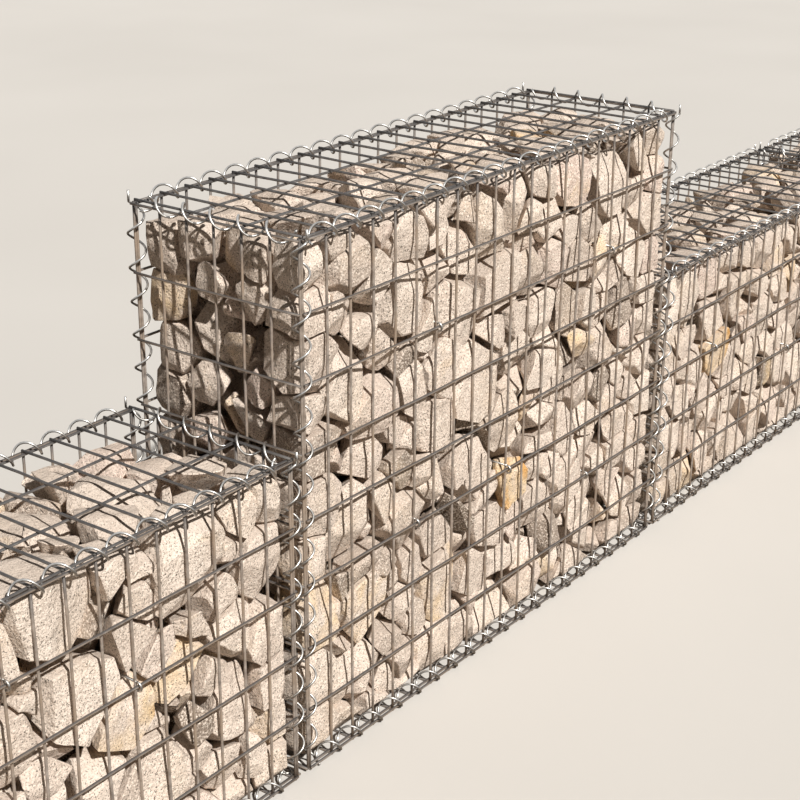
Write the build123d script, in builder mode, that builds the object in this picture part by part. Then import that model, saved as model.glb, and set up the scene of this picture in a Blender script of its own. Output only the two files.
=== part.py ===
"""Gabion wall: welded-mesh baskets filled with quarried stone, one tall basket among low ones.

X runs along the wall, the front faces -Y and Z is up. The origin is at the middle of the footprint,
on the ground. All sizes are in millimetres.
"""
import os
from math import cos, pi, sin

from build123d import *

os.makedirs("parts", exist_ok=True)

# Driving dimensions of a basket, between the centres of its outermost wires
basket_length = 1000.0
basket_depth = 300.0
low_height = 500.0
tall_height = 800.0

# Welded mesh: close wires one way, wider-spaced wires welded across them
mesh_wire = 4.0
close_pitch = 50.0
cross_pitch = 100.0

# Joining spirals, wound round each upright corner and mirrored from basket to basket
spiral_wire = 3.5
loops_per_cell = 2
flats_per_turn = 4

# Stone fill, left a little short of the lid. A slumped corner runs this far along the wall and forward
fill_drop = 10.0
slump_run = 280.0
slump_reach = 190.0

# Clearance between pieces that seat on, pass or stand against each other
fit_gap = 0.3

# The row of baskets from left to right: height, how far the stones fall towards the back, and how far
# they have slumped at the back left and back right corners
bays = {
    "bay_1": (low_height, 6.0, 0.0, 45.0),
    "bay_2": (tall_height, 20.0, 35.0, 60.0),
    "bay_3": (low_height, 8.0, 50.0, 0.0),
    "bay_4": (low_height, 4.0, 0.0, 0.0),
}

# Corner layout: the edge wires of two panels stand side by side inside the spiral
half_wire = mesh_wire / 2
panel_offset = mesh_wire + fit_gap
edge_depth = mesh_wire + fit_gap
corner_out_x = half_wire + fit_gap + edge_depth
corner_out_y = half_wire + fit_gap
spiral_x = basket_length / 2 + (corner_out_x - half_wire) / 2
spiral_y = basket_depth / 2 + (corner_out_y - half_wire) / 2

# Spiral: its flats pass the two edge wires with the fit gap, and its steel has the wire's area
turn = 2 * pi / flats_per_turn
section_radius = spiral_wire / 2 * (pi / (0.75 * 3**0.5)) ** 0.5
wires_half_diagonal = ((half_wire + corner_out_x) + (half_wire + corner_out_y)) / 2 * sin(pi / 4)
spiral_radius = (wires_half_diagonal + fit_gap + section_radius) / cos(turn / 2)
spiral_reach = spiral_radius + section_radius / cos(turn / 2)

# Level of the middle of the bottom wires above the ground
bottom_level = panel_offset + half_wire


def cells(span, pitch):
    """Whole number of mesh cells nearest to the pitch."""
    return max(1, round(span / pitch))


def mesh_panel(plane, run, rise):
    """One welded panel. Its close wires and two edge wires are one layer, its cross wires the next."""
    close_cells = cells(run, close_pitch)
    close_step = run / close_cells
    cross_cells = cells(rise, cross_pitch)
    with BuildPart() as panel:
        with BuildSketch(plane):
            Rectangle(run + mesh_wire, rise + mesh_wire)
            with GridLocations(close_step, 0, close_cells, 1):
                Rectangle(close_step - mesh_wire, rise - mesh_wire, mode=Mode.SUBTRACT)
        extrude(amount=mesh_wire)
        with BuildSketch(plane.offset(mesh_wire)):
            with GridLocations(run, 0, 2, 1):
                Rectangle(mesh_wire, rise + mesh_wire)
        extrude(amount=fit_gap)
        if cross_cells > 1:
            with BuildSketch(plane.offset(edge_depth)):
                with GridLocations(0, rise / cross_cells, 1, cross_cells - 1):
                    Rectangle(run + mesh_wire, mesh_wire)
            extrude(amount=mesh_wire)
    return panel


def panel_planes(height):
    """Where each panel starts, with its cross wires on the side that the plane faces."""
    inside_y = basket_depth / 2 - half_wire
    inside_x = basket_length / 2 + half_wire + fit_gap
    middle = bottom_level + height / 2
    top = bottom_level + height + panel_offset + half_wire
    return {
        "front": Plane((0, -inside_y, middle), x_dir=(1, 0, 0), z_dir=(0, -1, 0)),
        "back": Plane((0, inside_y, middle), x_dir=(-1, 0, 0), z_dir=(0, 1, 0)),
        "left_end": Plane((-inside_x, 0, middle), x_dir=(0, -1, 0), z_dir=(-1, 0, 0)),
        "right_end": Plane((inside_x, 0, middle), x_dir=(0, 1, 0), z_dir=(1, 0, 0)),
        "lid": Plane((0, 0, top), x_dir=(1, 0, 0), z_dir=(0, 0, -1)),
        "base": Plane((0, 0, 0), x_dir=(1, 0, 0), z_dir=(0, 0, 1)),
    }


def spiral_path(height):
    """Points of the front left spiral, from above the bottom wire to a straight tail over the lid."""
    rows = cells(height, cross_pitch)
    flat_rise = height / rows / loops_per_cell / flats_per_turn
    flats = rows * loops_per_cell * flats_per_turn - 2
    points = []
    for step in range(flats + 1):
        angle = pi / 2 + step * turn
        x = -spiral_x + spiral_radius * cos(angle)
        y = -spiral_y + spiral_radius * sin(angle)
        points.append((x, y, bottom_level + flat_rise * (step + 0.5)))
    lid_middle = bottom_level + height + panel_offset / 2
    points.append((x, y, lid_middle + spiral_reach))
    return points


def corner_spirals(height):
    """The four corner spirals of a basket, each a wire of three sides bent in flats."""
    with BuildPart() as spirals:
        with BuildLine() as path:
            Polyline(*spiral_path(height))
        with BuildSketch(path.line ^ 0):
            RegularPolygon(section_radius, 3)
        sweep(transition=Transition.RIGHT)
        mirror(about=Plane.YZ)
        mirror(about=Plane.XZ)
    return spirals


def stone_fill(height, back_fall, left_slump, right_slump):
    """The body of stones inside the wires, cut back at the corners where the spirals turn."""
    width = basket_length + mesh_wire
    depth = basket_depth - 2 * (half_wire + fit_gap)
    floor_level = bottom_level + half_wire + fit_gap
    top_level = bottom_level + height - half_wire - fill_drop
    with BuildPart() as fill:
        with BuildSketch(Plane.XY.offset(floor_level)) as outline:
            Rectangle(width, depth)
            chamfer(outline.vertices(), spiral_reach)
        extrude(amount=top_level - floor_level)
        split(bisect_by=Plane((0, 0, top_level), z_dir=(0, back_fall, depth / 2)), keep=Keep.BOTTOM)
        for side, slump in ((-1, left_slump), (1, right_slump)):
            if slump:
                corner = (side * width / 2, depth / 2, top_level - back_fall - slump)
                slope = (side * slump / slump_run, slump / slump_reach, 1)
                split(bisect_by=Plane(corner, z_dir=slope), keep=Keep.BOTTOM)
    return fill


def basket(height):
    """The wire pieces of one basket, with its middle over the origin."""
    pieces = {}
    for side, plane in panel_planes(height).items():
        run = basket_depth if side.endswith("end") else basket_length
        rise = basket_depth if side in ("lid", "base") else height
        pieces[f"{side}_mesh"] = mesh_panel(plane, run, rise)
    pieces["corner_spirals"] = corner_spirals(height)
    return pieces


baskets = {height: basket(height) for height in (low_height, tall_height)}
spirals_width = min(pieces["corner_spirals"].part.bounding_box().size.X for pieces in baskets.values())
bay_pitch = spirals_width + fit_gap
for index, (bay, (height, *stone_levels)) in enumerate(bays.items()):
    place = Location(((index - (len(bays) - 1) / 2) * bay_pitch, 0, 0))
    pieces = {**baskets[height], "stone_fill": stone_fill(height, *stone_levels)}
    for name, piece in pieces.items():
        copy = piece.part.moved(place)
        copy.label = f"{bay}_{name}"
        export_step(copy, f"parts/{copy.label}.step")
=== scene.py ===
"""Looks of the gabion wall: round mesh wires, wound joining spirals, spacer ties and quarried stones.

X runs along the wall, the front faces -Y and Z is up, in metres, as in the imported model.
"""

import math
import random

import bmesh
import bpy
import numpy as np
from mathutils import Matrix, Vector, noise


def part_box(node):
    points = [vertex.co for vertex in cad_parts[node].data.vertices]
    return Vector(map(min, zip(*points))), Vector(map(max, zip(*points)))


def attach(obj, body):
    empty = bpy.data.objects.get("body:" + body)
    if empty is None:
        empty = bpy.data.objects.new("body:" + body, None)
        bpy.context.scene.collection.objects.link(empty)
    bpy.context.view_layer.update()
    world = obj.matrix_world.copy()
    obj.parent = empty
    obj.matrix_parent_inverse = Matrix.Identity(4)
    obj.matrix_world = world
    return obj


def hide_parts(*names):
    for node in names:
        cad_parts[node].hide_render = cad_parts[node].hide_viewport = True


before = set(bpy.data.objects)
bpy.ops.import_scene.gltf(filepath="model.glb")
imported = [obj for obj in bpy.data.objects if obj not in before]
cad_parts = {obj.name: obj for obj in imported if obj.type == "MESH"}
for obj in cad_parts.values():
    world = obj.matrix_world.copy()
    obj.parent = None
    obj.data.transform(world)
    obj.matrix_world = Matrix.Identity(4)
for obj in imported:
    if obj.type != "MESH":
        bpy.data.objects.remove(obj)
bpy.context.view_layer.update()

# Noise vectors start from the clock unless they are given a seed, and would differ from run to run
noise.seed_set(7)

mm = 0.001

# Welded mesh: close wires one way, wider-spaced wires welded across them. Straight wires have a ring of
# points about every bend length
mesh_wire = 4.0 * mm
close_pitch = 50.0 * mm
cross_pitch = 100.0 * mm
weld_layer = 3.85 * mm
wire_sides = 8
bend_length = 50.0 * mm

# The stones push the panels out, the ends and the lid by a share of what the front and back get. The push
# varies about a mean share of itself and fades near a panel's edges. All noise scales are per metre
mesh_bulge = 3.5 * mm
mean_bulge = 0.35
end_bulge = 0.4
lid_bulge = 0.5
bulge_scale = 4.0
edge_hold = 4
mesh_wander = 1.6 * mm
mesh_wander_scale = 9.0

# Joining spirals. Along a top or bottom edge they stop short of the corners, and at each close wire they
# are this part of a turn past their top
spiral_wire = 3.5 * mm
spiral_radius = 11.9 * mm
steps_per_turn = 18
loops_per_cell = 2
edge_spiral_room = 15.0 * mm
edge_lead = 1 / 8
spiral_wander = 0.4 * mm
spiral_wander_scale = 25.0
weld_distance = 0.01 * mm

# The bottom spirals stand on the ground, so their middle lies as high as they reach
base_spiral_level = spiral_radius + spiral_wire / 2 + spiral_wander

# Ties through the depth, each curled round a horizontal wire by part of a turn
tie_ring_radius = 6.8 * mm
tie_curl = 0.72
tie_advance = 0.6 * spiral_wire

# Stones set down at random: smallest, largest and usual radius, the share of two stones' radii that is
# kept between their middles, and the scale of the first and the last tries
stone_radii = (20.0 * mm, 64.0 * mm, 33.0 * mm)
stone_spread = 0.84
stone_tries = 11000
first_scale = 1.2
last_scale = 0.6
stone_stretch = (0.1, 0.55)

# Stones stacked in the upright corners, with their places and their spread in shares of a radius
corner_stone_radii = (30.0 * mm, 44.0 * mm)
corner_inset = (0.7, 1.0)
corner_spread = 0.7
corner_rise = 0.8
corner_top = 0.3

# Top of the stones: the least gap under the lid, how much lower it lies in places, and a shift that
# makes each basket's top its own
lid_gap = 9.0 * mm
top_drop = 8.0 * mm
top_scale = 7.0
top_shift = 10.0

# Joints: the least gap and how much wider a rare one is, what is added near an open side, how far the
# split tilts, and how far off a neighbour still counts, in radii and past them
joint_gap = (0.3 * mm, 9.0 * mm)
joint_rarity = 2.5
open_gap = 6.0 * mm
joint_tilt = 0.18
neighbour_range = 4.0
largest_reach = 40.0 * mm

# How loosely the stones stand against a wall: cut back for a spiral, laid on the base, faced against the
# front or back mesh, or ragged as at the ends and the top
trimmed = 0.0
laid = 0.2
faced = 1.0
ragged = 2.0

# Stones at a wall: how near it and a corner count, in radii, how far a face stands back and tilts, the
# least depth of a stone in radii, and the splits across its face
wall_range = 2.6
corner_range = 1.3
wall_inset = 18.0 * mm
wall_tilt = 0.15
least_depth = 0.35
face_splits = (0, 2)
ragged_splits = (2, 4)
split_slope = (0.15, 0.55)
split_offset = (0.0, 0.5)
corner_hold = 0.3

# Shape and wear of a block: its size in radii before it is cut, its chopped corners and worn edges, and
# the scale and depth of the roughness
block_size = 5.6
cut_tolerance = 0.001 * mm
corner_chops = (3, 6)
chop_depth = (0.66, 0.92)
short_edge = 5.0 * mm
worn_edge = (0.6 * mm, 2.2 * mm)
long_edge = 17.0 * mm
refine_rounds = 3
seen_depth = 30.0 * mm
roughness = ((18.0, 2.4 * mm), (55.0, 1.9 * mm))
roughness_shift = 50.0
sharp_turn = 0.36

# Tone runs from a painted shade for hidden stones, which are seen only in the voids, to pale and pink.
# Warmth is how far ochre stains spread, and only a few stones have much of it
plain_tone = 0.5
pale_tone = 0.85
pink_tone = 1.0
most_warmth = 0.8
warmth_rarity = 9


def spaced(half_span, pitch):
    """Places of evenly spaced wires across a span about its middle."""
    cells = round(2 * half_span / pitch)
    return [-half_span + 2 * half_span * step / cells for step in range(cells + 1)]


class Basket:
    """Where the wires and stones of one basket lie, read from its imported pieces."""

    def __init__(self, name, back_slump):
        front_low, front_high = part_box(f"{name}_front_mesh")
        end_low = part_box(f"{name}_right_end_mesh")[0]
        lid_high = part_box(f"{name}_lid_mesh")[1]
        spiral_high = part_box(f"{name}_corner_spirals")[1]
        self.name = name
        self.middle = (front_low.x + front_high.x) / 2
        self.half_length = (front_high.x - front_low.x - mesh_wire) / 2
        self.half_depth = mesh_wire / 2 - front_high.y
        self.end = end_low.x + mesh_wire / 2 - self.middle
        self.bottom = front_low.z + mesh_wire / 2
        self.top = front_high.z - mesh_wire / 2
        self.lid = lid_high.z - mesh_wire / 2
        self.spiral_x = (self.half_length + self.end) / 2
        self.tail_top = spiral_high.z - spiral_wander
        self.lid_spiral_level = spiral_high.z - spiral_radius - spiral_wire / 2 - spiral_wander
        self.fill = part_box(f"{name}_stone_fill")
        self.back_slump = back_slump

    def point(self, spot):
        """A place given from the basket's middle on the ground."""
        return Vector(spot) + Vector((self.middle, 0, 0))

    def rows(self):
        """Levels of the horizontal wires of the front, back and ends."""
        middle = (self.top + self.bottom) / 2
        return [middle + step for step in spaced((self.top - self.bottom) / 2, cross_pitch)]

    def fill_level(self, x, y):
        """Level of the top of the stones at a place: uneven, and lower towards the back."""
        uneven = (1 + noise.noise(Vector((x * top_scale, y * top_scale, self.middle * top_shift)))) / 2
        return self.lid - lid_gap - top_drop * uneven - self.back_slump * max(0.0, y / self.fill[1].y)


def new_object(name, data):
    """An object in the scene that holds a mesh, a lamp or a camera."""
    made = bpy.data.objects.new(name, data)
    bpy.context.scene.collection.objects.link(made)
    return made


def finish_piece(bm, name, material, nodes=()):
    """Makes a piece of the wall from a mesh that is modelled in place."""
    mesh = bpy.data.meshes.new(name)
    bm.to_mesh(mesh)
    bm.free()
    mesh.materials.append(material)
    piece = new_object(name, mesh)
    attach(piece, "root")
    if nodes:
        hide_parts(*nodes)
    return piece


def smooth_faces(bm):
    """Turns the faces outwards and shades them smooth."""
    bmesh.ops.recalc_face_normals(bm, faces=bm.faces)
    for face in bm.faces:
        face.smooth = True


def straight_wire(bm, start, run, radius=mesh_wire / 2):
    """A round wire from a point along a run, with rings close enough to bend it afterwards."""
    turned = run.to_track_quat("Z", "Y").to_matrix().to_4x4()
    made = bmesh.ops.create_cone(
        bm,
        cap_ends=True,
        segments=wire_sides,
        radius1=radius,
        radius2=radius,
        depth=run.length,
        matrix=Matrix.Translation(start + run / 2) @ turned,
    )
    sides = [
        edge
        for vert in made["verts"]
        for edge in vert.link_edges
        if edge.verts[0] == vert and edge.calc_length() > run.length / 2
    ]
    cuts = round(run.length / bend_length) - 1
    if cuts > 0:
        bmesh.ops.subdivide_edges(bm, edges=sides, cuts=cuts)


def parallel_wires(bm, starts, run):
    """Straight mesh wires that run the same way from a row of places."""
    for start in starts:
        straight_wire(bm, Vector(start), Vector(run))


def wound_wire(bm, centre, axis, arm, turns, advance):
    """A wire wound about an axis: one turn, copied along it, and then the part of a turn that is left."""
    pitch = axis * (advance / turns)
    tangent = axis.cross(arm) * math.tau + pitch
    turned = tangent.to_track_quat("Z", "Y").to_matrix().to_4x4()
    place = Matrix.Translation(centre + arm) @ turned
    made = bpy.data.meshes.new("turn")
    whole = int(turns)
    for share, copies, lead in ((1.0, whole, 0), (turns - whole, 1, whole)):
        steps = round(share * steps_per_turn)
        if not steps:
            continue
        turn = bmesh.new()
        bmesh.ops.create_circle(turn, segments=wire_sides, radius=spiral_wire / 2, matrix=place)
        bmesh.ops.spin(
            turn,
            geom=turn.edges,
            cent=centre,
            axis=axis,
            dvec=pitch * share / steps,
            angle=share * math.tau,
            steps=steps,
        )
        bmesh.ops.translate(turn, vec=pitch * lead, verts=turn.verts)
        for _ in range(copies):
            turn.to_mesh(made)
            bm.from_mesh(made)
            bmesh.ops.translate(turn, vec=pitch, verts=turn.verts)
        turn.free()
    bpy.data.meshes.remove(made)


def close_wires(bm):
    """Joins the turns of wound wires and closes the cut ends."""
    bmesh.ops.remove_doubles(bm, verts=bm.verts, dist=weld_distance)
    bmesh.ops.holes_fill(bm, edges=[edge for edge in bm.edges if edge.is_boundary], sides=wire_sides)


def bend_mesh(bm, basket, outward):
    """Lets the stones push a panel out in its middle and wander a little, with its edges held."""
    middle_z = (basket.top + basket.bottom) / 2
    half_height = (basket.top - basket.bottom) / 2
    for vert in bm.verts:
        along = (vert.co.x - basket.middle) / basket.half_length
        across = vert.co.y / basket.half_depth
        up = (vert.co.z - middle_z) / half_height
        held = 1.0
        for share, normal in ((along, outward.x), (across, outward.y), (up, outward.z)):
            held *= 1.0 if normal else max(0.0, 1 - share**edge_hold)
        push = mesh_bulge * (mean_bulge + (1 - mean_bulge) * noise.noise(vert.co * bulge_scale)) * held
        stray = noise.noise_vector(vert.co * mesh_wander_scale) * mesh_wander * held
        vert.co += outward * push + stray


def side_wires(basket, side):
    """The front or back panel: upright close wires with horizontal wires welded outside them."""
    bm = bmesh.new()
    y = side * basket.half_depth
    foot = basket.bottom - mesh_wire / 2
    uprights = [(basket.middle + x, y, foot) for x in spaced(basket.half_length, close_pitch)]
    parallel_wires(bm, uprights, (0, 0, basket.top - basket.bottom + mesh_wire))
    reach = basket.half_length + mesh_wire / 2
    rails = [(basket.middle - reach, y + side * weld_layer, z) for z in basket.rows()]
    parallel_wires(bm, rails, (2 * reach, 0, 0))
    bend_mesh(bm, basket, Vector((0, side, 0)))
    return bm


def end_wires(basket, side):
    """An end panel, made as the front is and standing outside the front and back wires."""
    bm = bmesh.new()
    x = basket.middle + side * basket.end
    foot = basket.bottom - mesh_wire / 2
    uprights = [(x, y, foot) for y in spaced(basket.half_depth, close_pitch)]
    parallel_wires(bm, uprights, (0, 0, basket.top - basket.bottom + mesh_wire))
    reach = basket.half_depth + mesh_wire / 2
    rails = [(x + side * weld_layer, -reach, z) for z in basket.rows()]
    parallel_wires(bm, rails, (0, 2 * reach, 0))
    bend_mesh(bm, basket, Vector((side * end_bulge, 0, 0)))
    return bm


def flat_wires(basket, cross_level, long_level, lift):
    """The lid or the base: close wires across the depth, with long wires on the side of the stones."""
    bm = bmesh.new()
    reach = basket.half_depth + mesh_wire / 2
    places = spaced(basket.half_length, close_pitch)
    parallel_wires(bm, [(basket.middle + x, -reach, cross_level) for x in places], (0, 2 * reach, 0))
    reach = basket.half_length + mesh_wire / 2
    edge_y = basket.half_depth - mesh_wire
    places = [-edge_y, *spaced(basket.half_depth, cross_pitch)[1:-1], edge_y]
    parallel_wires(bm, [(basket.middle - reach, y, long_level) for y in places], (2 * reach, 0, 0))
    if lift:
        bend_mesh(bm, basket, Vector((0, 0, lift)))
    return bm


def wander(bm):
    """Bends a spiral a little out of true."""
    for vert in bm.verts:
        vert.co += noise.noise_vector(vert.co * spiral_wander_scale) * spiral_wander


def corner_spirals(basket):
    """The four spirals that join the uprights at the corners, each with a straight cut tail on top."""
    bm = bmesh.new()
    rows = basket.rows()
    pitch = (rows[1] - rows[0]) / loops_per_cell
    start_level = basket.bottom + pitch / 4
    turns = (basket.top - start_level) / pitch
    up = Vector((0, 0, 1))
    for side_x in (-1, 1):
        for side_y in (-1, 1):
            x = basket.middle + side_x * basket.spiral_x
            y = side_y * basket.half_depth
            out = Vector((0, side_y * spiral_radius, 0))
            arm = Matrix.Rotation(-turns * math.tau, 3, up) @ out
            wound_wire(bm, Vector((x, y, start_level)), up, arm, turns, basket.top - start_level)
            tail = Vector((0, 0, basket.tail_top - basket.top))
            straight_wire(bm, Vector((x, y, basket.top)) + out, tail, spiral_wire / 2)
    close_wires(bm)
    wander(bm)
    return bm


def edge_spirals(basket, level):
    """The spirals along the four edges at one level. They pass the panels between their close wires."""
    bm = bmesh.new()
    up = Vector((0, 0, 1))
    lead = edge_spiral_room / close_pitch + edge_lead
    for out in (Vector((0, -1, 0)), Vector((0, 1, 0)), Vector((-1, 0, 0)), Vector((1, 0, 0))):
        axis = up.cross(out)
        half_run = (basket.half_length if out.y else basket.half_depth) - edge_spiral_room
        seat = Vector((basket.middle + out.x * basket.spiral_x, out.y * basket.half_depth, level))
        arm = Matrix.Rotation(lead * math.tau, 3, axis) @ (up * spiral_radius)
        wound_wire(bm, seat - axis * half_run, axis, arm, 2 * half_run / close_pitch, 2 * half_run)
    close_wires(bm)
    wander(bm)
    return bm


def spacer_ties(basket, places):
    """Wires through the depth that hold front and back together, curled round their horizontal wires."""
    bm = bmesh.new()
    rows = basket.rows()
    rise = Vector((0, 0, tie_ring_radius))
    for column, row in places:
        x = basket.middle - basket.half_length + column * close_pitch
        for side in (-1, 1):
            centre = Vector((x, side * (basket.half_depth + weld_layer), rows[row]))
            wound_wire(bm, centre, Vector((-side, 0, 0)), rise, tie_curl, tie_advance)
            straight_wire(bm, Vector((x, 0, centre.z)) + rise, Vector((0, centre.y, 0)), spiral_wire / 2)
    close_wires(bm)
    return bm


class Layout:
    """Middles and radii of the stones that are set down in one basket."""

    def __init__(self, places):
        self.middles = np.array([place[:3] for place in places], float).reshape(-1, 3)
        self.radii = np.array([place[3] for place in places], float)

    def set_down(self, middle, radius, spread):
        """Sets a stone down, if there is room between it and those that lie there."""
        far = np.linalg.norm(self.middles - middle, axis=1)
        if (far > (self.radii + radius) * spread).all():
            self.middles = np.vstack([self.middles, middle])
            self.radii = np.append(self.radii, radius)


def stack_corner(layout, basket, corner_x, corner_y, rng):
    """Stacks stones in an upright corner, from the base to the top of the fill."""
    level = basket.fill[0].z
    while True:
        radius = rng.uniform(*corner_stone_radii)
        x = corner_x + math.copysign(radius * rng.uniform(*corner_inset), basket.middle - corner_x)
        y = corner_y - math.copysign(radius * rng.uniform(*corner_inset), corner_y)
        level += radius
        if level > basket.fill_level(x, y) - corner_top * radius:
            break
        layout.set_down([x, y, level], radius, corner_spread)
        level += radius * corner_rise


def scatter(layout, basket, rng):
    """Sets stones down at random wherever there is room, on the whole larger ones first."""
    low, high = basket.fill
    smallest, largest, usual = stone_radii
    for attempt in range(stone_tries):
        scale = first_scale - (first_scale - last_scale) * attempt / stone_tries
        radius = max(smallest, rng.triangular(smallest, largest, usual) * scale)
        inset = radius / 2
        x, y = [rng.uniform(low[axis] + inset, high[axis] - inset) for axis in range(2)]
        z = rng.uniform(low.z + inset, basket.fill_level(x, y) - inset)
        layout.set_down([x, y, z], radius, stone_spread)


def random_direction(rng):
    """A direction with no preference."""
    return Vector([rng.gauss(0, 1) for _ in range(3)]).normalized()


def tilted(normal, amount, rng):
    """A direction turned a little at random."""
    return (normal + random_direction(rng) * amount).normalized()


def cut(bm, point, normal):
    """Takes away what lies past a plane and closes the stone again."""
    if all((vert.co - point).dot(normal) < weld_distance for vert in bm.verts):
        return
    made = bmesh.ops.bisect_plane(
        bm,
        geom=bm.verts[:] + bm.edges[:] + bm.faces[:],
        dist=cut_tolerance,
        plane_co=point,
        plane_no=normal,
        clear_outer=True,
    )
    rim = [edge for edge in made["geom_cut"] if isinstance(edge, bmesh.types.BMEdge)]
    if len(rim) > 2:
        bmesh.ops.contextual_create(bm, geom=rim)


class Wall:
    """A plane that holds the stones in, its direction out of them, and how loosely they stand there."""

    def __init__(self, point, normal, loose):
        self.point = Vector(point)
        self.normal = Vector(normal)
        self.loose = loose

    def depth(self, place):
        """How deep inside the wall a place lies."""
        return (self.point - place).dot(self.normal)


def stone_walls(basket):
    """Planes that hold the stones in: the panels, and cuts that leave room for the spirals."""
    low, high = basket.fill
    walls = [
        Wall((0, low.y, 0), (0, -1, 0), faced),
        Wall((0, high.y, 0), (0, 1, 0), faced),
        Wall((low.x, 0, 0), (-1, 0, 0), ragged),
        Wall((high.x, 0, 0), (1, 0, 0), ragged),
        Wall((0, 0, low.z), (0, 0, -1), laid),
    ]
    reach = spiral_radius + spiral_wire / 2
    for side_y in (-1, 1):
        out = Vector((0, side_y, -1)).normalized()
        axis = Vector((0, side_y * basket.half_depth, base_spiral_level))
        walls.append(Wall(axis - out * reach, out, trimmed))
        for side_x in (-1, 1):
            out = Vector((side_x, side_y, 0)).normalized()
            axis = Vector((basket.middle + side_x * basket.spiral_x, side_y * basket.half_depth, 0))
            walls.append(Wall(axis - out * reach, out, trimmed))
    return walls


class Stone:
    """Where one stone lies, how large it is, and which way it is long."""

    def __init__(self, middle, radius, rng):
        self.middle = Vector(middle)
        self.radius = radius
        self.long_way = random_direction(rng)
        self.stretch = rng.uniform(*stone_stretch)

    def reach(self, way):
        """How far the stone reaches in a direction, before its neighbours stop it."""
        return self.radius * (1 - self.stretch / 3 + self.stretch * abs(way.dot(self.long_way)))

    def split_from(self, other):
        """The point and direction of the plane between this stone and another."""
        way = other.middle - self.middle
        distance = way.length
        way.normalize()
        share = (distance**2 + self.reach(way) ** 2 - other.reach(way) ** 2) / (2 * distance)
        return self.middle + way * share, way


def stop_at_wall(bm, one, wall, hold, rng):
    """Cuts a block off at a wall, tilted and set back, and splits its face where the wall is loose."""
    tilt = rng.uniform(0, wall_tilt) * wall.loose * hold
    inset = wall_inset * rng.random() ** 2 * wall.loose * hold
    face = one.middle + wall.normal * max(wall.depth(one.middle) - inset, least_depth * one.radius)
    cut(bm, face, tilted(wall.normal, tilt, rng))
    splits = ragged_splits if wall.loose >= ragged else face_splits
    for _ in range(rng.randint(*splits) if wall.loose >= faced else 0):
        side = random_direction(rng).cross(wall.normal).normalized()
        slope = (wall.normal + side * math.tan(rng.uniform(*split_slope))).normalized()
        cut(bm, face + side * one.radius * rng.uniform(*split_offset), slope)


def rough_block(one, others, walls, rng):
    """A block split off its neighbours and the nearest walls by planes, with chopped corners."""
    corner_depth = corner_range * one.radius
    sides = sum(wall.loose >= faced and wall.depth(one.middle) < corner_depth for wall in walls)
    hold = corner_hold if sides > 1 else 1.0
    widest_gap = open_gap if any(wall.loose >= ragged for wall in walls) else 0.0
    bm = bmesh.new()
    bmesh.ops.create_cube(bm, size=block_size * one.radius, matrix=Matrix.Translation(one.middle))
    for other in others:
        point, way = one.split_from(other)
        rare_gap = joint_gap[1] * rng.random() ** joint_rarity
        gap = joint_gap[0] + (rare_gap + widest_gap * rng.random()) * hold
        cut(bm, point - way * gap, tilted(way, joint_tilt * hold, rng))
    for wall in walls:
        stop_at_wall(bm, one, wall, hold, rng)
    for _ in range(rng.randint(*corner_chops)):
        way = random_direction(rng)
        reach = max(((vert.co - one.middle).dot(way) for vert in bm.verts), default=0)
        cut(bm, one.middle + way * reach * rng.uniform(*chop_depth), way)
    bmesh.ops.remove_doubles(bm, verts=bm.verts, dist=short_edge)
    bmesh.ops.dissolve_degenerate(bm, edges=bm.edges, dist=weld_distance)
    return bm


def shows(edge, walls):
    """Whether an edge of a stone lies so near one of the walls that it can be seen."""
    middle = (edge.verts[0].co + edge.verts[1].co) / 2
    return any(wall.depth(middle) < seen_depth for wall in walls)


def weather(bm, walls, rng):
    """Wears the edges of a block and roughens its faces, more finely where they show."""
    bmesh.ops.bevel(
        bm,
        geom=bm.edges[:],
        offset=rng.uniform(*worn_edge),
        segments=1,
        profile=0.5,
        affect="EDGES",
        clamp_overlap=True,
        material=-1,
    )
    bmesh.ops.triangulate(bm, faces=bm.faces)
    seen_walls = [wall for wall in walls if wall.loose >= faced]
    for _ in range(refine_rounds):
        long_edges = [edge for edge in bm.edges if edge.calc_length() > long_edge]
        seen_edges = [edge for edge in long_edges if shows(edge, seen_walls)]
        bmesh.ops.subdivide_edges(bm, edges=seen_edges, cuts=1, use_grid_fill=True)
        bmesh.ops.triangulate(bm, faces=bm.faces)
    shift = random_direction(rng) * roughness_shift
    for vert in bm.verts:
        for scale, depth in roughness:
            vert.co += noise.noise_vector(vert.co * scale + shift) * depth


def keep_inside(bm, low, high):
    """Holds every point of a stone inside a box."""
    for vert in bm.verts:
        vert.co = [min(max(vert.co[axis], low[axis]), high[axis]) for axis in range(3)]


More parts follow.
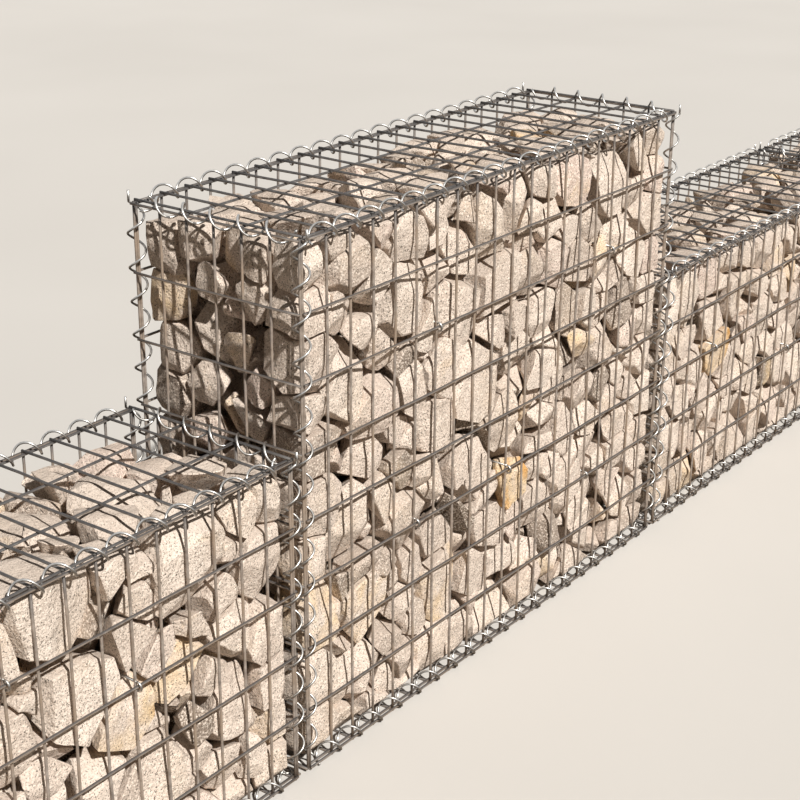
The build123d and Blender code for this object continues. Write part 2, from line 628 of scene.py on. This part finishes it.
def stones(basket, seed, chosen, hollows):
    """All stones of a basket in one mesh, the chosen ones first, each with its own tone and warmth."""
    rng = random.Random(seed)
    low, high = basket.fill
    layout = Layout([(basket.middle + x, y, z, radius) for x, y, z, radius, tone, warmth in chosen])
    for corner_x, corner_y in ((low.x, low.y), (high.x, low.y), (low.x, high.y), (high.x, high.y)):
        stack_corner(layout, basket, corner_x, corner_y, rng)
    scatter(layout, basket, rng)
    all_stones = [Stone(middle, radius, rng) for middle, radius in zip(layout.middles, layout.radii)]
    walls = stone_walls(basket)
    highest = Vector((high.x, high.y, basket.lid - lid_gap))
    whole = bmesh.new()
    scratch = bpy.data.meshes.new("scratch")
    shades = []
    for index, one in enumerate(all_stones):
        tone, warmth = rng.random(), most_warmth * rng.random() ** warmth_rarity
        if index < len(chosen):
            tone, warmth = chosen[index][4:]
        elif any((one.middle - basket.point(spot)).length < radius for *spot, radius in hollows):
            continue
        far = np.linalg.norm(layout.middles - layout.middles[index], axis=1)
        farthest = neighbour_range * one.radius + largest_reach
        others = [all_stones[other] for other in np.argsort(far)[1:] if far[other] < farthest]
        surface = basket.fill_level(one.middle.x, one.middle.y)
        limits = [*walls, Wall((0, 0, surface), (0, 0, 1), ragged)]
        near_walls = [wall for wall in limits if wall.depth(one.middle) < wall_range * one.radius]
        bm = rough_block(one, others, near_walls, rng)
        if len(bm.faces) < 4:
            bm.free()
            continue
        if near_walls:
            weather(bm, limits, rng)
        keep_inside(bm, low, highest)
        smooth_faces(bm)
        for edge in bm.edges:
            edge.smooth = edge.calc_face_angle(0) < sharp_turn
        # A stone near no wall gets tone 0, a painted shade that darkens the voids it is seen through
        shades.append((len(bm.verts), tone if near_walls else 0.0, warmth))
        bm.to_mesh(scratch)
        bm.free()
        whole.from_mesh(scratch)
    bpy.data.meshes.remove(scratch)
    fill_node = f"{basket.name}_stone_fill"
    piece = finish_piece(whole, f"{basket.name}_stones", materials["stone"], [fill_node])
    for name, column in (("stone_tone_and_shade", 1), ("stone_warmth", 2)):
        values = np.repeat([shade[column] for shade in shades], [shade[0] for shade in shades])
        attribute = piece.data.attributes.new(name, "FLOAT", "POINT")
        attribute.data.foreach_set("value", values.astype(np.float32))


class Nodes:
    """Short names for laying out the nodes of one material."""

    def __init__(self, name):
        self.material = bpy.data.materials.new(name)
        self.material.use_nodes = True
        self.tree = self.material.node_tree
        self.shader = self.tree.nodes["Principled BSDF"]
        self.place = self.tree.nodes.new("ShaderNodeTexCoord").outputs["Object"]

    def add(self, kind, inputs=(), **settings):
        """A new node with its settings and inputs."""
        node = self.tree.nodes.new(kind)
        for key, value in settings.items():
            setattr(node, key, value)
        for key, value in dict(inputs).items():
            self.set(node.inputs[key], value)
        return node

    def set(self, socket, value):
        """Feeds a socket from another node, or gives it a number or a colour."""
        if isinstance(value, bpy.types.NodeSocket):
            self.tree.links.new(value, socket)
        else:
            socket.default_value = (*value, 1.0) if isinstance(value, tuple) else value

    def noise(self, scale, detail, roughness=0.55, distortion=0.0):
        """Noise that is fixed to the piece, with a scale per metre."""
        inputs = {
            "Vector": self.place,
            "Scale": scale,
            "Detail": detail,
            "Roughness": roughness,
            "Distortion": distortion,
        }
        return self.add("ShaderNodeTexNoise", inputs).outputs["Fac"]

    def ramp(self, value, *stops):
        """Colours that follow a value from stop to stop."""
        node = self.add("ShaderNodeValToRGB", {"Fac": value})
        elements = node.color_ramp.elements
        while len(elements) < len(stops):
            elements.new(0.5)
        for element, (position, colour) in zip(elements, stops):
            element.position = position
            element.color = (*colour, 1.0)
        return node.outputs["Color"]

    def range(self, value, low, high, to_low, to_high):
        """A value carried from one range to another, and held at its ends."""
        inputs = {"Value": value, "From Min": low, "From Max": high, "To Min": to_low, "To Max": to_high}
        return self.add("ShaderNodeMapRange", inputs).outputs["Result"]

    def mix(self, share, first, second, blend="MIX"):
        """Two colours mixed by a share."""
        node = self.add("ShaderNodeMix", {0: share}, data_type="RGBA", blend_type=blend)
        self.set(node.inputs[6], first)
        self.set(node.inputs[7], second)
        return node.outputs[2]

    def over(self, under, colour, value, low, high, most):
        """A colour laid over another as a value goes from low to high, up to a share."""
        return self.mix(self.range(value, low, high, 0.0, most), under, colour)

    def maths(self, operation, first, second):
        """A sum or product of two values."""
        return self.add("ShaderNodeMath", {0: first, 1: second}, operation=operation).outputs[0]

    def attribute(self, name):
        """A value that is stored in the points of the mesh."""
        return self.add("ShaderNodeAttribute", attribute_name=name).outputs["Fac"]

    def facing_up(self):
        """How far the surface faces up, from -1 to 1."""
        normal = self.add("ShaderNodeNewGeometry").outputs["Normal"]
        return self.add("ShaderNodeSeparateXYZ", {0: normal}).outputs["Z"]

    def bump(self, height, distance, strength, under=None):
        """Relief from a height, on top of another relief if one is given."""
        inputs = {"Height": height, "Distance": distance, "Strength": strength}
        if under:
            inputs["Normal"] = under
        return self.add("ShaderNodeBump", inputs).outputs["Normal"]

    def finish(self, **sockets):
        """Feeds the shader's sockets and gives the finished material."""
        for key, value in sockets.items():
            self.set(self.shader.inputs[key.replace("_", " ")], value)
        return self.material


def quarried_granite():
    """Pale granite: fine dark grains, mottled beige to pink, ochre stains on some stones, painted shade
    on hidden stones, and dust with painted shade on faces that look up.
    """
    beige = (0.74, 0.60, 0.46)
    grey = (0.44, 0.39, 0.35)
    brown_grain = (0.42, 0.35, 0.29)
    quartz = (0.97, 0.865, 0.765)
    ochre = (0.82, 0.61, 0.36)
    rust = (0.72, 0.38, 0.11)
    mica = (0.09, 0.075, 0.06)
    top_dust_and_shade = (0.50, 0.42, 0.36)
    m = Nodes("quarried_granite")
    # The ramp's first stop is a painted shade for hidden stones; the other stops are the stones' own
    # tones
    tone = m.ramp(
        m.attribute("stone_tone_and_shade"),
        (0.0, (0.17, 0.128, 0.095)),
        (0.05, (0.48, 0.395, 0.335)),
        (0.16, (0.75, 0.64, 0.56)),
        (0.55, (0.87, 0.75, 0.66)),
        (0.88, (0.90, 0.79, 0.70)),
        (1.0, (0.80, 0.64, 0.57)),
    )
    mottle = m.ramp(m.noise(15.0, 4.0), (0.32, (0.83, 0.81, 0.79)), (0.58, (1.0, 1.0, 1.0)))
    body = m.mix(1.0, tone, mottle, "MULTIPLY")
    body = m.over(body, beige, m.noise(9.0, 3.0), 0.52, 0.66, 0.45)
    body = m.over(body, grey, m.noise(26.0, 5.0, 0.7), 0.56, 0.72, 0.55)
    body = m.over(body, brown_grain, m.noise(390.0, 2.0, 0.65), 0.48, 0.62, 0.66)
    body = m.over(body, quartz, m.noise(340.0, 2.0, 0.55), 0.51, 0.60, 0.7)
    warmth = m.maths("MULTIPLY", m.attribute("stone_warmth"), 0.42)
    stain = m.maths("ADD", m.noise(12.0, 4.0, 0.6, 0.6), warmth)
    body = m.over(body, ochre, stain, 0.67, 0.93, 0.8)
    body = m.over(body, rust, stain, 0.92, 1.04, 0.85)
    body = m.over(body, mica, m.noise(440.0, 2.0, 0.6), 0.59, 0.635, 0.95)
    # Faces that look up turn a darker brown: partly dust, partly painted shade that tones down their
    # light
    body = m.over(body, top_dust_and_shade, m.facing_up(), 0.2, 0.95, 0.58)
    coarse = m.bump(m.noise(34.0, 8.0, 0.62), 10.0 * mm, 0.75)
    fine = m.bump(m.noise(230.0, 4.0, 0.6), 2.2 * mm, 0.8, coarse)
    return m.finish(Base_Color=body, Roughness=0.9, Specular_IOR_Level=0.3, Normal=fine)


def weathered_zinc(name, dark, usual, pale, dust_share):
    """Mesh wire: dull zinc in three shades, with brown dust in patches and painted shade on top."""
    brown_dust = (0.40, 0.305, 0.225)
    painted_top_shade = (0.055, 0.052, 0.053)
    m = Nodes(name)
    streak = m.noise(90.0, 4.0, 0.6)
    colour = m.ramp(streak, (0.32, dark), (0.50, usual), (0.70, pale))
    colour = m.over(colour, brown_dust, m.noise(14.0, 3.0), 0.44, 0.64, dust_share)
    # Painted shade: the tops of the wires are darkened nearly to black
    colour = m.over(colour, painted_top_shade, m.facing_up(), 0.0, 0.6, 0.88)
    rough = m.range(streak, 0.3, 0.7, 0.68, 0.52)
    bump = m.bump(m.noise(500.0, 3.0), 0.25 * mm, 0.6)
    return m.finish(Base_Color=colour, Roughness=rough, Metallic=0.25, Normal=bump)


def bright_zinc():
    """Spiral wire: newer, brighter zinc with a fine spangle."""
    dark = (0.32, 0.31, 0.295)
    usual = (0.48, 0.465, 0.445)
    bright = (0.64, 0.63, 0.60)
    m = Nodes("bright_zinc")
    spangle = m.noise(160.0, 3.0, 0.6)
    colour = m.ramp(spangle, (0.30, dark), (0.55, usual), (0.75, bright))
    rough = m.range(spangle, 0.3, 0.7, 0.46, 0.30)
    bump = m.bump(m.noise(420.0, 2.0), 0.15 * mm, 0.5)
    return m.finish(Base_Color=colour, Roughness=rough, Metallic=1.0, Normal=bump)


materials = {
    "stone": quarried_granite(),
    "mesh_wire": weathered_zinc(
        "dusty_zinc",
        dark=(0.20, 0.17, 0.15),
        usual=(0.33, 0.285, 0.25),
        pale=(0.46, 0.41, 0.37),
        dust_share=0.7,
    ),
    "lid_wire": weathered_zinc(
        "grey_zinc",
        dark=(0.10, 0.098, 0.10),
        usual=(0.17, 0.163, 0.16),
        pale=(0.30, 0.29, 0.285),
        dust_share=0.15,
    ),
    "spiral_wire": bright_zinc(),
}


def dress_basket(name, seed, ties, chosen=(), hollows=(), back_slump=0.0):
    """Builds every piece of one basket."""
    basket = Basket(name, back_slump)
    panels = {
        "front": side_wires(basket, -1),
        "back": side_wires(basket, 1),
        "left_end": end_wires(basket, -1),
        "right_end": end_wires(basket, 1),
        "lid": flat_wires(basket, basket.lid, basket.lid - weld_layer, lid_bulge),
        "base": flat_wires(basket, mesh_wire / 2, mesh_wire / 2 + weld_layer, 0),
    }
    for side, bm in panels.items():
        smooth_faces(bm)
        zinc = materials["lid_wire" if side == "lid" else "mesh_wire"]
        finish_piece(bm, f"{name}_{side}_wires", zinc, [f"{name}_{side}_mesh"])
    wound_pieces = {
        "corner_wires": (corner_spirals(basket), [f"{name}_corner_spirals"]),
        "lid_spirals": (edge_spirals(basket, basket.lid_spiral_level), []),
        "base_spirals": (edge_spirals(basket, base_spiral_level), []),
        "spacer_ties": (spacer_ties(basket, ties), []),
    }
    for label, (bm, nodes) in wound_pieces.items():
        smooth_faces(bm)
        finish_piece(bm, f"{name}_{label}", materials["spiral_wire"], nodes)
    stones(basket, seed, chosen, hollows)


# What tells the baskets apart. Places are from a basket's middle on the ground: chosen stones stand out
# in the photograph and have x, y, z, radius, tone and warmth, and hollows are empty, with x, y, z and
# radius. A tie has the number of its close wire from the left and of its row from the bottom, from 0
bays = {
    "bay_1": {
        "seed": 11,
        "ties": ((5, 2), (14, 3), (10, 4)),
        "back_slump": 4.0 * mm,
        "chosen": (
            (0.199, -0.118, 0.268, 0.046, plain_tone, 0.80),
            (0.093, -0.105, 0.450, 0.066, pale_tone, 0.05),
            (0.318, -0.105, 0.425, 0.064, pale_tone, 0.05),
            (0.455, -0.115, 0.372, 0.050, plain_tone, 0.10),
            (0.120, -0.110, 0.330, 0.060, pale_tone, 0.05),
            (0.250, -0.115, 0.150, 0.052, plain_tone, 0.10),
            (0.330, 0.000, 0.455, 0.070, pale_tone, 0.00),
            (0.180, 0.020, 0.455, 0.064, plain_tone, 0.25),
        ),
        "hollows": ((0.480, 0.130, 0.480, 0.060),),
    },
    "bay_2": {
        "seed": 22,
        "ties": ((5, 3), (6, 6), (10, 3), (16, 6), (15, 2)),
        "back_slump": 11.0 * mm,
        "chosen": (
            (0.041, -0.128, 0.272, 0.030, pale_tone, 1.00),
            (-0.460, -0.112, 0.245, 0.046, pale_tone, 0.70),
            (-0.356, -0.118, 0.207, 0.042, plain_tone, 0.55),
            (-0.163, -0.115, 0.168, 0.048, plain_tone, 0.60),
            (0.196, -0.115, 0.746, 0.042, pink_tone, 0.40),
            (-0.262, -0.100, 0.661, 0.066, pale_tone, 0.05),
            (-0.065, -0.100, 0.478, 0.068, plain_tone, 0.15),
            (-0.389, -0.110, 0.577, 0.056, pale_tone, 0.05),
            (-0.391, -0.108, 0.345, 0.060, pale_tone, 0.00),
            (-0.020, -0.108, 0.620, 0.058, plain_tone, 0.10),
        ),
        "hollows": (
            (-0.490, 0.140, 0.790, 0.045),
            (0.360, 0.115, 0.800, 0.060),
            (-0.480, -0.008, 0.780, 0.035),
            (-0.480, -0.055, 0.633, 0.038),
            (-0.300, -0.020, 0.790, 0.036),
            (-0.110, 0.040, 0.790, 0.036),
            (-0.480, 0.060, 0.654, 0.032),
        ),
    },
    "bay_3": {
        "seed": 33,
        "ties": ((4, 3), (11, 2), (16, 4)),
        "back_slump": 8.0 * mm,
        "chosen": (
            (-0.263, -0.112, 0.277, 0.054, plain_tone, 0.92),
            (-0.400, -0.112, 0.420, 0.052, pale_tone, 0.05),
        ),
        "hollows": (
            (-0.430, 0.120, 0.480, 0.085),
            (-0.280, 0.140, 0.480, 0.060),
            (-0.420, -0.050, 0.480, 0.036),
            (-0.250, -0.010, 0.480, 0.040),
            (-0.060, 0.060, 0.480, 0.045),
            (0.140, -0.040, 0.480, 0.045),
        ),
    },
    "bay_4": {"seed": 44, "ties": ((5, 2), (12, 3), (16, 2))},
}
for bay, details in bays.items():
    dress_basket(bay, **details)


def plain_floor():
    """A pale floor that runs far past the wall, and lights it as a darker, browner one would."""
    size = 60.0
    seen_colours = (0.3, (0.57, 0.555, 0.535)), (0.7, (0.60, 0.585, 0.565))
    lighting_colour = (0.20, 0.165, 0.13)
    bm = bmesh.new()
    bmesh.ops.create_grid(bm, x_segments=1, y_segments=1, size=size)
    mesh = bpy.data.meshes.new("floor")
    bm.to_mesh(mesh)
    bm.free()
    m = Nodes("pale_floor")
    tint = m.ramp(m.noise(0.8, 2.0), *seen_colours)
    seen = m.add("ShaderNodeLightPath").outputs["Is Camera Ray"]
    mesh.materials.append(m.finish(Base_Color=m.mix(seen, lighting_colour, tint), Roughness=0.95))
    floor = new_object("floor", mesh)


def lamp(name, energy, angle, colour, toward):
    """A distant lamp that shines from the given direction."""
    light = bpy.data.lights.new(name, "SUN")
    light.energy = energy
    light.angle = math.radians(angle)
    light.color = colour
    holder = new_object(name, light)
    holder.rotation_euler = Vector(toward).to_track_quat("Z", "Y").to_euler()


def daylight():
    """A key from the front left, as high as in the photograph, and a broad weak fill from the right."""
    lamp("key", energy=5.15, angle=1.4, colour=(1.0, 0.96, 0.90), toward=(-0.22, -0.65, 0.73))
    lamp("fill", energy=0.10, angle=60.0, colour=(1.0, 0.93, 0.86), toward=(0.45, -0.20, 0.66))


def pale_room():
    """A weak warm light from all round. The camera and the reflections see a pale room in its place."""
    world = bpy.data.worlds.new("pale_room")
    world.use_nodes = True
    tree = world.node_tree
    light = tree.nodes["Background"]
    light.inputs["Color"].default_value = (1.0, 0.87, 0.76, 1.0)
    light.inputs["Strength"].default_value = 0.045
    seen = tree.nodes.new("ShaderNodeBackground")
    seen.inputs["Color"].default_value = (0.93, 0.94, 0.95, 1.0)
    seen.inputs["Strength"].default_value = 0.95
    path = tree.nodes.new("ShaderNodeLightPath")
    camera_or_glossy = tree.nodes.new("ShaderNodeMath")
    camera_or_glossy.operation = "MAXIMUM"
    mix = tree.nodes.new("ShaderNodeMixShader")
    tree.links.new(path.outputs["Is Camera Ray"], camera_or_glossy.inputs[0])
    tree.links.new(path.outputs["Is Glossy Ray"], camera_or_glossy.inputs[1])
    tree.links.new(camera_or_glossy.outputs[0], mix.inputs[0])
    tree.links.new(light.outputs[0], mix.inputs[1])
    tree.links.new(seen.outputs[0], mix.inputs[2])
    tree.links.new(mix.outputs[0], tree.nodes["World Output"].inputs["Surface"])
    bpy.context.scene.world = world


def place_camera():
    """The photograph's view: its place and direction come from fitting the wire grid in the picture."""
    place = (-2.5553, -1.4644, 1.3955)
    forward = Vector((0.7426, 0.5568, -0.3721)).normalized()
    right = Vector((0.602, -0.7985, 0.0064))
    picture_width = 800
    focal_pixels = 1629.9
    sensor = 36.0
    camera = bpy.data.cameras.new("camera")
    camera.sensor_width = sensor
    camera.lens = focal_pixels / picture_width * sensor
    holder = new_object("camera", camera)
    right = (right - forward * right.dot(forward)).normalized()
    up = right.cross(forward)
    turned = Matrix((right, up, -forward)).transposed()
    holder.matrix_world = Matrix.Translation(place) @ turned.to_4x4()
    bpy.context.scene.camera = holder


plain_floor()
daylight()
pale_room()
place_camera()
bpy.context.scene.view_settings.view_transform = "Standard"
